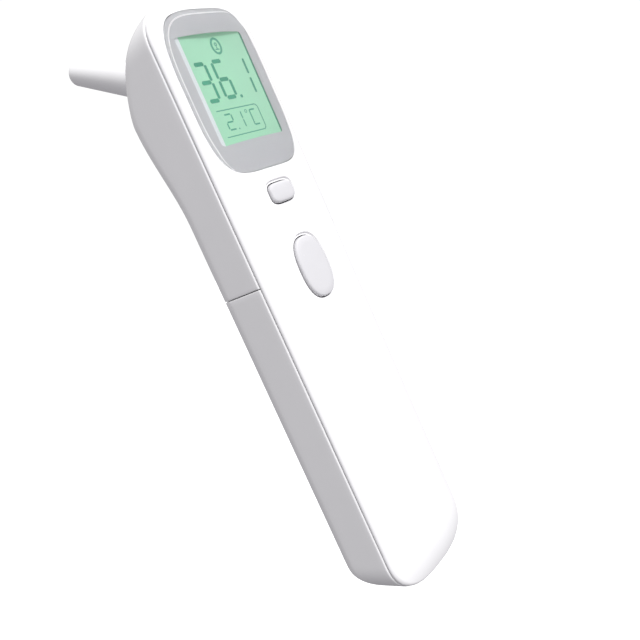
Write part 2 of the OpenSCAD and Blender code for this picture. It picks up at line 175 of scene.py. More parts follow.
def keep_normals(mesh, source):
    """Gives the cut mesh the smooth normals that its surface had before it was cut."""
    tree = BVHTree.FromPolygons([v.co for v in source.vertices], [p.vertices for p in source.polygons])
    before = source.corner_normals
    normals = [n.vector.copy() for n in mesh.corner_normals]
    for poly in mesh.polygons:
        middle = poly.center.copy()
        near = tree.find_nearest(middle)
        if near[3] > 3e-6 or near[1].dot(poly.normal) < 0.9:
            continue
        for loop in poly.loop_indices:
            point = mesh.vertices[mesh.loops[loop].vertex_index].co.lerp(middle, 0.03)
            spot, normal, index, _ = tree.find_nearest(point)
            if normal.dot(poly.normal) < 0.9:
                continue
            face = source.polygons[index]
            weights = poly_3d_calc([source.vertices[i].co for i in face.vertices], spot)
            total = Vector()
            for weight, corner in zip(weights, face.loop_indices):
                total += weight * before[corner].vector
            normals[loop] = total.normalized()
    mesh.normals_split_custom_set(normals)


def cut(mesh, *cutters):
    """Takes the cutters out of the mesh and keeps its shading."""
    soften(mesh)
    body = bpy.data.objects.new("cut_body", mesh)
    bpy.context.scene.collection.objects.link(body)
    tools = []
    for cutter in cutters:
        tool = bpy.data.objects.new("cut_tool", cutter)
        bpy.context.scene.collection.objects.link(tool)
        tools.append(tool)
        mod = body.modifiers.new("cut", "BOOLEAN")
        mod.object, mod.operation, mod.solver = tool, "DIFFERENCE", "EXACT"
    graph = bpy.context.evaluated_depsgraph_get()
    result = bpy.data.meshes.new_from_object(body.evaluated_get(graph))
    for obj in [body, *tools]:
        bpy.data.objects.remove(obj)
    soften(result)
    keep_normals(result, mesh)
    return result


def block(x, y, z, r=0.15):
    """Box from ranges in x, y and z with small chamfers."""
    rows = []
    for h, inset in ((z[0], r), (z[0] + r, 0), (z[1] - r, 0), (z[1], r)):
        x0, x1, y0, y1 = x[0] + inset, x[1] - inset, y[0] + inset, y[1] - inset
        rows.append([(x0 + r, y0, h), (x1 - r, y0, h), (x1, y0 + r, h), (x1, y1 - r, h),
                     (x1 - r, y1, h), (x0 + r, y1, h), (x0, y1 - r, h), (x0, y0 + r, h)])
    return skin(rows, start=True, end=True)


def rod_y(x, z, profile, sides=48):
    """Turned shape about an axis along Y, from (radius, y) pairs."""
    rows = [[(x + r * math.cos(2 * math.pi * i / sides), y, z + r * math.sin(2 * math.pi * i / sides))
             for i in range(sides)] for r, y in profile]
    return skin(rows)


def turned(profile, sides=160):
    """Turned shape on the probe's axis, from (radius, height) pairs."""
    return skin([[on_probe(r, 2 * math.pi * i / sides, h) for i in range(sides)] for r, h in profile])


# ---- Materials ----


def principled(name):
    mat = bpy.data.materials.new(name)
    mat.use_nodes = True
    tree = mat.node_tree
    return mat, tree.nodes, tree.links, tree.nodes["Principled BSDF"]


def surface(name, color, rough, metallic=0.0, grain=1500.0, bump=0.02, vary=0.03, rough_vary=0.05,
            coat=0.0, stretch=(1, 1, 1), emission=0.0):
    """A moulded, drawn or printed surface, or one with light or shade painted in, with faint colour, gloss
    and height variation.
    """
    mat, nodes, links, shader = principled(name)
    coord = nodes.new("ShaderNodeTexCoord")
    mapping = nodes.new("ShaderNodeMapping")
    mapping.inputs["Scale"].default_value = stretch
    links.new(coord.outputs["Object"], mapping.inputs["Vector"])
    broad = nodes.new("ShaderNodeTexNoise")
    broad.inputs["Scale"].default_value = grain / 18
    broad.inputs["Detail"].default_value = 3
    links.new(mapping.outputs["Vector"], broad.inputs["Vector"])
    ramp = nodes.new("ShaderNodeValToRGB")
    ramp.color_ramp.elements[0].position = 0.3
    ramp.color_ramp.elements[1].position = 0.7
    ramp.color_ramp.elements[0].color = [max(0.0, c * (1 - vary)) for c in color] + [1]
    ramp.color_ramp.elements[1].color = [min(1.0, c * (1 + vary)) for c in color] + [1]
    links.new(broad.outputs["Fac"], ramp.inputs["Fac"])
    links.new(ramp.outputs["Color"], shader.inputs["Base Color"])
    span = nodes.new("ShaderNodeMapRange")
    span.inputs["To Min"].default_value = max(0.02, rough - rough_vary)
    span.inputs["To Max"].default_value = rough + rough_vary
    links.new(broad.outputs["Fac"], span.inputs["Value"])
    links.new(span.outputs["Result"], shader.inputs["Roughness"])
    fine = nodes.new("ShaderNodeTexNoise")
    fine.inputs["Scale"].default_value = grain
    fine.inputs["Detail"].default_value = 4
    links.new(mapping.outputs["Vector"], fine.inputs["Vector"])
    height = nodes.new("ShaderNodeBump")
    height.inputs["Strength"].default_value = bump
    height.inputs["Distance"].default_value = 0.0002
    links.new(fine.outputs["Fac"], height.inputs["Height"])
    links.new(height.outputs["Normal"], shader.inputs["Normal"])
    shader.inputs["Metallic"].default_value = metallic
    shader.inputs["Coat Weight"].default_value = coat
    shader.inputs["Coat Roughness"].default_value = 0.06
    if emission:
        links.new(ramp.outputs["Color"], shader.inputs["Emission Color"])
        shader.inputs["Emission Strength"].default_value = emission
    return mat


shell = surface("shell_gloss_white", (0.88, 0.875, 0.885), 0.20, grain=2600, bump=0.012, vary=0.008,
                rough_vary=0.03, coat=0.15)
inner = surface("shell_inside", (0.80, 0.80, 0.81), 0.45, grain=1800, bump=0.05, vary=0.015)
cone_white = surface("probe_white", (0.88, 0.875, 0.885), 0.30, grain=2200, bump=0.015, vary=0.01)
# The keys are white like the shell and are drawn darker as painted shade, where a pressing thumb shades them
key_white_painted_shade = surface("key_white_painted_shade", (0.655, 0.65, 0.67), 0.26, grain=2600, bump=0.015, vary=0.012, coat=0.1)
mask_grey = surface("mask_print", (0.71, 0.715, 0.735), 0.38, grain=1600, bump=0.02, vary=0.012)
# Painted light on the lens's back: a lighter band for the light its bevel catches, and a glowing white line
# as a painted highlight
painted_bevel_light = surface("mask_painted_bevel_light", (0.79, 0.795, 0.81), 0.34, grain=1600, bump=0.02, vary=0.012)
painted_highlight_line = surface("mask_painted_highlight", (0.96, 0.96, 0.97), 0.3, grain=1600, bump=0.01, vary=0.01,
                     emission=0.12)
edge_grey = surface("lens_edge", (0.62, 0.625, 0.64), 0.3, grain=1600, bump=0.02, vary=0.02)
lcd_green = surface("display_lit", (0.345, 0.645, 0.455), 0.35, grain=520, bump=0.01, vary=0.035,
                    emission=0.34)
# Dark green of the digits, also used as painted shade in the strip down the panel's right side
segment_and_shade_green = surface("display_segment_and_shade", (0.07, 0.36, 0.22), 0.5, grain=900, bump=0.01, vary=0.08,
                        emission=0.2)
fine_green = surface("display_fine_segment", (0.09, 0.40, 0.25), 0.5, grain=900, bump=0.01, vary=0.08,
                     emission=0.15)
edge_white = surface("display_edge", (0.76, 0.80, 0.81), 0.4, grain=900, bump=0.02, vary=0.02, emission=0.2)
# Painted shade: the dark lower sides of the keys stand for the shade in the gap round them
painted_gap_shade = surface("gap_shadow", (0.05, 0.05, 0.055), 0.7, grain=900, bump=0.05, vary=0.1)
window_dark = surface("sensor_window", (0.10, 0.10, 0.12), 0.12, metallic=0.6, grain=900, bump=0.01, vary=0.1)

clear, clear_nodes, clear_links, clear_shader = principled("lens_clear")
clear_shader.inputs["Transmission Weight"].default_value = 1.0
clear_shader.inputs["IOR"].default_value = 1.46
clear_shader.inputs["Base Color"].default_value = (0.985, 0.988, 0.99, 1)
clear_noise = clear_nodes.new("ShaderNodeTexNoise")
clear_noise.inputs["Scale"].default_value = 60
clear_span = clear_nodes.new("ShaderNodeMapRange")
clear_span.inputs["To Min"].default_value = 0.01
clear_span.inputs["To Max"].default_value = 0.03
clear_links.new(clear_noise.outputs["Fac"], clear_span.inputs["Value"])
clear_links.new(clear_span.outputs["Result"], clear_shader.inputs["Roughness"])

# ---- Front shell ----


def body_loop(k, y, inset=0.0):
    """Loop round the body's outline at level k of the dome, drawn in by inset."""
    s = k - inset / HALF
    loop = []
    straight, arc = 72, 72
    low, high = END_H, LENGTH - END_H
    for side in (1, -1):
        for i in range(straight):
            f = i / straight
            z = low + (high - low) * (f if side > 0 else 1 - f)
            loop.append((side * HALF * s, y, z))
        for i in range(arc):
            a = math.pi * i / arc
            loop.append((side * HALF * s * signed(math.cos(a), 2 / END_N), y,
                         (high if side > 0 else low) + side * END_H * s * signed(math.sin(a), 2 / END_N)))
    return loop


def front_shape():
    """Domed front of the case; its rim is 0.22 mm further in than in CAD, to bare the rear edge."""
    rows = [body_loop(1, y, inset) for y, inset in (
        (-SEAM_HALF, 4.2), (-SEAM_HALF, 0.36), (-0.17, 0.28), (-0.22, 0.23), (-0.48, 0.22), (-0.66, 0.26),
        (-0.84, 0.36), (-1.0, 0.50), (-1.14, 0.66))]
    for inset in (0.8, 1.2, 1.7, 2.3, 3.0, 3.8, 4.7, 5.7, 6.8, 8.0, 9.2, 10.4, 11.6, 12.8, 13.9, 14.9,
                  15.7, HALF):
        k = 1 - inset / HALF
        rows.append(body_loop(k, dome_y(k)))
    return skin([body_loop(0, -SEAM_HALF)] + rows)


def bar(points, y0, y1):
    """Straight prism along Y through a closed outline of (x, z) points."""
    return skin([[(x, y0, z) for x, z in points], [(x, y1, z) for x, z in points]], start=True, end=True)


def lens_loop(inset, drop=0.0):
    """Loop round the lens, drawn in by inset and set back by drop from its front."""
    loop = []
    for i in range(LENS_STEPS):
        a = 2 * math.pi * i / LENS_STEPS
        x = (LENS_HALF_W - inset) * signed(math.cos(a), 2 / 4.7)
        z = LENS_Z + (LENS_HALF_H - inset) * signed(math.sin(a), 2 / 3.6)
        loop.append((x, lens_y(x) + drop, z))
    return loop


def soft_box(half_x, half_z, n, z, steps=KEY_STEPS):
    """Closed outline of a box with soft corners, as (x, z) points."""
    return [(half_x * signed(math.cos(2 * math.pi * i / steps), 2 / n),
             z + half_z * signed(math.sin(2 * math.pi * i / steps), 2 / n)) for i in range(steps)]


def hollow():
    """Room behind the buttons, with a curved face that follows the dome."""
    rows = []
    for z in spread(5.2, 105.2, 40):
        w = min(half_w(z, 4.2), 12.1)
        xs = spread(-w, w, 24)
        rows.append([(-w, 2, z)] + [(x, 61.2 - math.sqrt(63 ** 2 - x * x), z) for x in xs] + [(w, 2, z)])
    return skin(rows, start=True, end=True)


# Half width, half height, squareness of the corners and middle height of each key
BUTTONS = {"mode": (3.9, 2.4, 3.6, 101.0), "scan": (4.8, 7.6, 2.5, 82.0)}

cutters = [build("tool", bar([(p[0], p[2]) for p in lens_loop(-0.12)], -8, 4)), build("tool", hollow())]
for half_x, half_z, n, z in BUTTONS.values():
    cutters.append(build("tool", bar(soft_box(half_x + 0.25, half_z + 0.25, n, z), -8, 4)))
    well = [[(x, y, h) for x, h in soft_box(half_x + d, half_z + d, n, z)]
            for y, d in ((-8, 1.5), (-3.55, 1.0), (-3.2, 0.72), (-2.95, 0.55))]
    cutters.append(build("tool", skin(well, start=True, end=True)))
front_mesh = cut(build("front", front_shape()), *cutters)
front = add("front_case", front_mesh, "housing", "shell_white", shell, smooth=False)
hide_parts("front_shell")

details = []
for s in (-1, 1):
    x0, x1 = sorted((s * 13.2, s * 14.4))
    details.append(block((x0, x1), (-SEAM_HALF, 1.2), (13, 133)))
    details.append(block(sorted((s * 13.2, s * 13.9)), (1.1, 2.3), (13, 133), 0.05))
    details.append(block((x0, x1), (2.2, 3.2), (13, 133)))
    details.append(rod_y(s * 9.8, 77, [(1.0, 1.5), (1.0, 9.4), (2.4, 9.4), (2.5, 9.3), (2.5, -1.4)]))
    for z in (88, 107):
        details.append(rod_y(s * 10.5, z, [(0.7, 0), (0.7, 2.2), (1.8, 2.2), (1.9, 2.1), (1.9, -1.2)]))
add("front_case_ribs", build("ribs", joined(*details)), "housing", "shell_white", inner)

# Lip that closes the seam from inside; CAD has none
lip = skin([body_loop(1, y, inset) for y, inset in (
    (-0.25, 0.45), (0.05, 0.45), (0.1, 0.5), (0.1, 1.1), (-0.25, 1.1), (-0.25, 0.45))])
add("seam_lip", build("lip", lip), "housing", "shell_white", shell)

# ---- Rear shell and battery cover ----


def section(z, edge=0.0, d=0.0, flat=(-0.6, -0.3, 0.0, 0.3, 0.6)):
    """Open U across the back at height z: up one side, round the back, down the other."""
    w, deep = max(half_w(z, d) - edge, 0.02), max(depth(z, d) - edge, 0.02)
    r = min(5.5 - d, w * 0.8, deep * 0.8)
    y0 = SEAM_HALF
    if d:
        points = [(-w, y0)]
    else:
        e = min(0.5, w * 0.3, deep * 0.2)
        points = [(-w + e, y0), (-w + e * 0.55, y0 + 0.05 * e), (-w + e * 0.25, y0 + 0.22 * e),
                  (-w + e * 0.06, y0 + 0.55 * e), (-w, y0 + e)]
    start = points[-1][1]
    for i in range(1, 8):
        points.append((-w, start + (deep - r - start) * i / 8))
    for i in range(25):
        a = math.pi - math.pi / 2 * i / 24
        points.append((-w + r + r * math.cos(a), deep - r + r * math.sin(a)))
    flat_half = max(w - r, 0.0)
    for f in flat:
        points.append((f * flat_half, deep))
    mirror = [(-x, y) for x, y in reversed(points[:-len(flat)])]
    return [(x, y, z) for x, y in points + mirror]


def inner_line(z, edge, hollow_here, **shape):
    """Inner surface at height z, backwards, or as many points on the seam where the end is solid."""
    line = section(z, edge=-edge * 0.6, **shape)
    return list(reversed(line)) if hollow_here else [(0, SEAM_HALF, z)] * len(line)


# Heights up the head, each with how far its edge is rounded in
head = [(SPLIT, 0.25), (SPLIT + 0.05, 0.1), (SPLIT + 0.15, 0.02), (SPLIT + 0.28, 0.0)]
head += [(z, 0.0) for z in spread(83.5, 101, 12)] + [(z, 0.0) for z in spread(102, 128, 44)]
head += [(128 + (LENGTH - 128) * math.sin(math.pi / 2 * i / 72) ** 1.2, 0.0) for i in range(1, 73)]
head = [(z, e) for z, e in head if z < LENGTH - 0.004] + [(LENGTH - 0.004, 0.0)]
rear_rows = [section(z, edge=e) + inner_line(z, e, z < LENGTH - 2.3, d=2.2) for z, e in head]
rear_mesh = cut(
    build("rear", skin(rear_rows, start=True, end=True)),
    build("tool", turned([(0, -8), (8.0, -8), (8.0, SEAT_H), (9.84, SEAT_H), (9.84, 14), (0, 14)], 128)))
rear = add("rear_case", rear_mesh, "housing", "shell_white", shell, smooth=False)
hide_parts("rear_shell")

add("probe_collar", build("collar", turned([
    (8.0, SEAT_H), (9.9, SEAT_H), (10.05, SEAT_H - 0.03), (10.2, SEAT_H - 0.1), (COLLAR_R, SEAT_H - 0.25),
    (COLLAR_R, -4.0), (8.0, -4.0), (8.0, SEAT_H)])), "housing", "shell_white", shell)

tongue = joined(block((-13.6, 13.6), (9.4, 11.0), (72, 83.2), 0.3),
                block((-15.4, 15.4), (9.4, 11.0), (82.9, 85.6)))
holes = [build("tool", rod_y(s * 9.8, 77, [(0, 8), (1.2, 8), (1.2, 13), (0, 13)], 40)) for s in (-1, 1)]
add("screw_tongue", cut(build("tongue", tongue), *holes), "housing", "shell_white", inner, smooth=False)

low = [(END_H * (1 - math.cos(math.pi / 2 * i / 56) ** (2 / END_N)), 0.0) for i in range(1, 57)]
low = [(max(z, 0.004), e) for z, e in low]
cover_levels = [(0.0015, 0.0)] + low + [(z, 0.0) for z in spread(12, 64, 26)]
cover_levels += [(z, 0.0) for z in spread(64.4, 78, 136)] + [(z, 0.0) for z in (79, 80, 81)]
top = SPLIT - 0.16  # CAD leaves 0.3 mm here
cover_levels += [(top - 0.28, 0.0), (top - 0.15, 0.02), (top - 0.05, 0.1), (top, 0.25)]
cover_flat = (-0.92, -0.8, -0.6, -0.58, -0.56, -0.54, -0.52, -0.4, -0.2, 0.0)


def cover_rows():
    """Rings of the cover, with finger ridges sunk into its back."""
    rows = []
    across = cover_flat + tuple(-f for f in reversed(cover_flat[:-1]))
    for z, edge in cover_levels:
        outer = section(z, edge=edge, flat=across)
        ring = []
        for x, y, h in outer:
            reach = min(1.0, max(0.0, (6.05 - abs(x)) / 0.3))
            if 64 < z < 78 and reach and y > 12:
                nearest = 66 + 2 * min(5, max(0, round((z - 66) / 2)))
                sink = math.sqrt(max(0.0, 0.81 - (z - nearest) ** 2)) - 0.5
                y -= max(0.0, sink) * reach
            ring.append((x, y, h))
        rows.append(ring + inner_line(z, edge, z > 1.7, d=WALL, flat=across))
    return rows


cover = add("battery_door", build("cover", skin(cover_rows(), start=True, end=True)), "cover",
            "shell_white", shell)
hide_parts("battery_cover")
latch = joined(block((-5, 5), (12.4, 13.7), (78.3, 85.9), 0.25),
               block((-5, 5), (12.6, 15.0), (78.3, 81.2), 0.1),
               *[block(sorted((s * 14.05, s * 15.2)), (1.4, 2.0), (15, 79), 0.1) for s in (-1, 1)])
add("cover_latch", build("latch", latch), "cover", "shell_white", inner)

# ---- Display ----


def window_loop(half_x, half_z, r):
    """Rounded rectangle sampled at the same angles as the lens outline."""
    loop = []
    for x, _, h in lens_loop(0):
        u, v = x / LENS_HALF_W, (h - LENS_Z) / LENS_HALF_H
        f = 1 / max(abs(u), abs(v), 1e-6)
        px, pz = u * f * half_x, v * f * half_z
        cx, cz = max(0.0, abs(px) - (half_x - r)), max(0.0, abs(pz) - (half_z - r))
        if cx > 0 and cz > 0:
            length = math.hypot(cx, cz)
            px = math.copysign(half_x - r + cx / length * r, px)
            pz = math.copysign(half_z - r + cz / length * r, pz)
        loop.append((px + WINDOW_X, WINDOW_Z + pz))
    return loop


def between(a, b, f):
    """Outline a fraction f of the way from outline a to outline b."""
    return [(p[0] + (q[0] - p[0]) * f, p[1] + (q[1] - p[1]) * f) for p, q in zip(a, b)]


def edge_loop(inset):
    """Lens outline drawn in by inset on the upper left, and by a twentieth of it on the other side."""
    loop = []
    for i in range(LENS_STEPS):
        around = 2 * math.pi * i / LENS_STEPS
        reach = min(1.0, max(0.05, 1.3 * math.cos(around - math.radians(150)) + 0.35))
        x, _, z = lens_loop(0.02 + (inset - 0.02) * reach)[i]
        loop.append((x, z))
    return loop


hole = window_loop(10.3, 12.7, 0.9)
# Edge of the lens, as (inset, drop) from its skirt to its front
bevel = [(0.0, 1.02), (0.0, 0.62), (0.05, 0.52), (0.16, 0.44), (0.45, 0.27), (0.8, 0.12), (1.1, 0.03),
         (1.35, 0.0)]
lens_rows = [lens_loop(inset, drop=drop) for inset, drop in bevel]
for inset in (2.2, 3.4, 5.0, 7.0, 9.0, 11.0, 12.4):
    f = (1 - inset / LENS_HALF_W) / (1 - 1.35 / LENS_HALF_W)
    lens_rows.append([(x * f, lens_y(x * f), LENS_Z + (z - LENS_Z) * f) for x, _, z in lens_loop(1.35)])
lens_rows.append([(0, lens_y(0), LENS_Z)] * LENS_STEPS)

# Back of the lens: the clear window, then the grey print, then a white line and a lighter band, which are
# painted light: a painted highlight and the painted light that the lens's bevel catches.
# The line and the band are wide only round the upper left, where the light falls, so this painted light is
# not even.
edge_rows = [edge_loop(inset) for inset in (1.26, 1.0, 0.02)]
back_rows = [[(WINDOW_X + (x - WINDOW_X) * f, z) for x, z in hole] for f in (0.0, 0.25, 0.5, 0.75, 1.0)]
back_rows += [between(hole, edge_rows[0], f) for f in (0.25, 0.5, 0.75)] + edge_rows
back_rows = [[(x, lens_y(x, LENS_T), z) for x, z in row] for row in back_rows]
lens = add("display_cover", build("lens", skin(back_rows + lens_rows)), "housing", "lens_clear", clear)
for material in (mask_grey, painted_highlight_line, painted_bevel_light, edge_grey):
    lens.data.materials.append(material)
# After four rows of grey print come two rows of painted light: the highlight line, then the lighter bevel
# band
clear_rows, print_and_painted_light_rows = 4, [1] * 4 + [2, 3]
for poly in lens.data.polygons:
    row = poly.index // LENS_STEPS - clear_rows
    if 0 <= row < len(print_and_painted_light_rows):
        poly.material_index = print_and_painted_light_rows[row]
    elif abs(poly.normal.y) < 0.35:
        poly.material_index = 4
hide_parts("display_lens")

rim = [(x, z) for x, _, z in lens_loop(0.14)]
mask_front, mask_back = ([[(x, lens_y(x, back), z) for x, z in between(hole, rim, f)]
                          for f in (0.0, 0.25, 0.5, 0.75, 1.0)] for back in (1.13, 1.24))
mask_rows = mask_front + list(reversed(mask_back))
mask = add("display_mask", build("mask", skin(mask_rows + mask_rows[:1])), "housing", "mask_grey", mask_grey)
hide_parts("lens_mask")

LCD_Y = -1.68  # front of the display panel, 0.58 mm nearer the lens than the CAD glass
SHIFT = 0.5  # added to the x of every mark on the panel
PLATE_Y, PLATE_T = LCD_Y - 0.03, 0.06
MITRE = 0.3  # length of a stroke's pointed end, as a part of its width

panel = add("display_panel", build("panel", block((-10.7, 10.7), (LCD_Y, 0.55), (112.2, 141.8), 0.1)),
            "housing", "lcd_green", lcd_green)
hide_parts("lcd_glass")


def plate(points):
    """Thin mark on the face of the panel."""
    return bar([(x + SHIFT, z) for x, z in points], PLATE_Y, PLATE_Y + PLATE_T)


def stroke(x0, z0, x1, z1, w):
    """One bar of a digit, with mitred ends."""
    length = math.hypot(x1 - x0, z1 - z0)
    ux, uz = (x1 - x0) / length, (z1 - z0) / length
    nx, nz = -uz, ux
    m = w * MITRE
    return plate([
        (x0, z0), (x0 + ux * m + nx * w / 2, z0 + uz * m + nz * w / 2),
        (x1 - ux * m + nx * w / 2, z1 - uz * m + nz * w / 2), (x1, z1),
        (x1 - ux * m - nx * w / 2, z1 - uz * m - nz * w / 2),
        (x0 + ux * m - nx * w / 2, z0 + uz * m - nz * w / 2)])


SEGMENTS = {"1": "bc", "2": "abged", "3": "abgcd", "6": "afgedc"}


def digit(symbol, x, z, w, h, t_across, t_up):
    """Seven-segment digit with its centre line box from (x, z), w wide and h high."""
    m, gap = z + h / 2, 0.07 * w
    ends = {"a": (x + gap, z + h, x + w - gap, z + h, t_across),
            "d": (x + gap, z, x + w - gap, z, t_across),
            "g": (x + gap, m, x + w - gap, m, t_across),
            "b": (x + w, m + gap, x + w, z + h - gap, t_up),
            "c": (x + w, z + gap, x + w, m - gap, t_up),
            "f": (x, m + gap, x, z + h - gap, t_up), "e": (x, z + gap, x, m - gap, t_up)}
    return [stroke(*ends[k]) for k in SEGMENTS[symbol]]


def oval(cx, cz, rx, rz, steps=56):
    return [(cx + SHIFT + rx * math.cos(2 * math.pi * i / steps), cz + rz * math.sin(2 * math.pi * i / steps))
            for i in range(steps)]


def ring_plate(cx, cz, rx, rz, t):
    """Thin oval ring on the face of the panel, its line t wide."""
    outer, inside = oval(cx, cz, rx, rz), oval(cx, cz, rx - t, rz - t)
    rows = [[(x, y, z) for x, z in loop] for y, loop in
            ((LCD_Y + 0.03, outer), (LCD_Y - 0.03, outer), (LCD_Y - 0.03, inside), (LCD_Y + 0.03, inside))]
    return skin(rows + rows[:1])


big = digit("3", -9.0, 124.9, 3.4, 8.6, 0.95, 0.75) + digit("6", -3.35, 125.1, 3.3, 8.6, 0.95, 0.75)
big += [stroke(6.85, 129.8, 6.85, 133.6, 0.6), stroke(6.75, 125.1, 6.75, 128.9, 0.6),
        plate([(x + 1.45, z) for x, z in soft_box(0.38, 0.38, 3, 124.9, 24)])]
add("display_digits", build("digits", joined(*big)), "housing", "lcd_green", segment_and_shade_green)

icon = [ring_plate(0.35, 137.2, 1.6, 2.05, 0.52), ring_plate(0.35, 137.6, 0.42, 0.45, 0.22),
        stroke(-0.3, 136.4, 1.0, 136.4, 0.24), stroke(0.35, 137.1, 0.35, 136.3, 0.22)]
small = digit("2", -6.6, 117.8, 2.2, 3.6, 0.36, 0.36)
small += [stroke(-1.2, 117.8, -1.2, 119.6, 0.3), stroke(-1.2, 119.75, -1.2, 121.5, 0.3),
          plate([(x - 3.55, z) for x, z in soft_box(0.18, 0.18, 3, 117.7, 16)]),
          ring_plate(0.6, 121.3, 0.42, 0.42, 0.16),
          stroke(1.8, 121.4, 3.5, 121.4, 0.36), stroke(1.8, 117.8, 3.5, 117.8, 0.36),
          stroke(1.8, 117.8, 1.8, 121.4, 0.32)]
frame_line = 0.22
small += [stroke(*ends, frame_line) for ends in (
    (-8.3, 122.5, 4.3, 122.5), (4.95, 116.9, 4.95, 121.9), (4.3, 122.5, 4.95, 121.9),
    (-8.3, 116.3, 4.4, 116.3), (4.4, 116.3, 4.95, 116.9))]
add("display_marks", build("marks", joined(*icon, *small)), "housing", "lcd_green", fine_green)


def side_strip(x0, x1, rise):
    """Strip down one side of the panel, standing out from it by rise."""
    return bar([(x0, 112.4), (x1, 112.4), (x1, 141.6), (x0, 141.6)], LCD_Y - rise, LCD_Y + 0.04)


# A dark strip on the right, painted shade where the window's edge shades the panel, and a pale one on the
# left; CAD has neither
add("display_shade", build("shade", side_strip(9.7, 10.6, 0.04)), "housing", "lcd_green", segment_and_shade_green)
add("display_light_edge", build("light_edge", side_strip(-10.68, -9.45, 0.05)), "housing",
    "frame_white", edge_white)

# ---- Buttons ----

SKIRT_Y = -2.75  # below this a key's side is coloured dark, painted shade for the gap round it


def key(half_x, half_z, n, z, crown):
    """Rounded key cap with a soft edge and a slightly crowned face."""
    rows = []
    profile = [(-0.8, 0.0), (SKIRT_Y, 0.0), (-3.3, 0.0), (-3.5, 0.03), (-3.66, 0.12), (-3.78, 0.26),
               (-3.86, 0.45)]
    for y, inset in profile:
        rows.append([(x, y, h) for x, h in soft_box(half_x - inset, half_z - inset, n, z)])
    for f in (0.8, 0.6, 0.4, 0.2, 0.0):
        rows.append([(x * f, -3.86 - crown * (1 - f * f), z + (h - z) * f)
                     for x, h in soft_box(half_x - 0.45, half_z - 0.45, n, z)])
    rows = [[(0, -0.8, z)] * KEY_STEPS] + rows
    flange = skin([[(x, y, h) for x, h in soft_box(half_x + d, half_z + d, n, z)]
                   for y, d in ((-0.8, 0.0), (-0.8, 0.6), (-0.9, 0.7), (-1.2, 0.7), (-1.3, 0.6),
                                (-1.3, 0.0))])
    return joined(skin(rows), flange)


for label, (half_x, half_z, n, z) in BUTTONS.items():
    stem_end = -0.15 if label == "scan" else -0.05
    stem = rod_y(0, z, [(1.4, -0.9), (1.4, stem_end), (0, stem_end)])
    cap = add(f"{label}_key_cap", build("cap", joined(key(half_x, half_z, n, z, 0.12), stem)),
              f"{label}_key", "button_white", key_white_painted_shade)
    # The side of each key below SKIRT_Y gets the painted gap shade
    cap.data.materials.append(painted_gap_shade)
    for poly in cap.data.polygons:
        if poly.center.y * 1000 + ORIGIN_Y > SKIRT_Y - 0.01:
            poly.material_index = 1
    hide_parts(f"{label}_button")

# ---- Probe ----


def cone_r(h):
    """Radius of the probe at height h: an even taper with a flared foot."""
    return TIP_R + (PROBE_LEN - h) * 0.05 + 4.6 * max(0.0, 1 - (h - SEAT_H) / 15) ** 2.5


cone_profile = [(7.2, -5.1), (9.0, -5.1), (9.0, -4.2), (7.9, -4.2), (7.9, -2.7), (7.2, -2.7),
                (7.2, -1.8), (7.9, -1.8), (7.9, SEAT_H), (cone_r(SEAT_H) - 0.2, SEAT_H),
                (cone_r(SEAT_H) - 0.03, SEAT_H + 0.06)]
cone_profile += [(cone_r(h), h) for h in spread(SEAT_H + 0.25, 14.0, 60)]
cone_profile += [(cone_r(h), h) for h in spread(15, 36.2, 12)]
for i in range(1, 15):
    a = math.pi / 2 * i / 14
    cone_profile.append((TIP_R - 1.2 + 1.2 * math.cos(a) + 0.07 * (1 - i / 14), 36.4 + 1.2 * math.sin(a)))
cone_profile += [(2.3, PROBE_LEN), (2.16, 37.55), (2.1, 37.4), (2.1, 23.6), (2.9, 14), (4.2, 6),
                 (6.8, -5.1), (7.2, -5.1)]
probe = add("probe_body", build("probe", turned(cone_profile)), "housing", "probe_white", cone_white)
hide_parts("probe_cone")

# ---- Materials for the CAD pieces ----

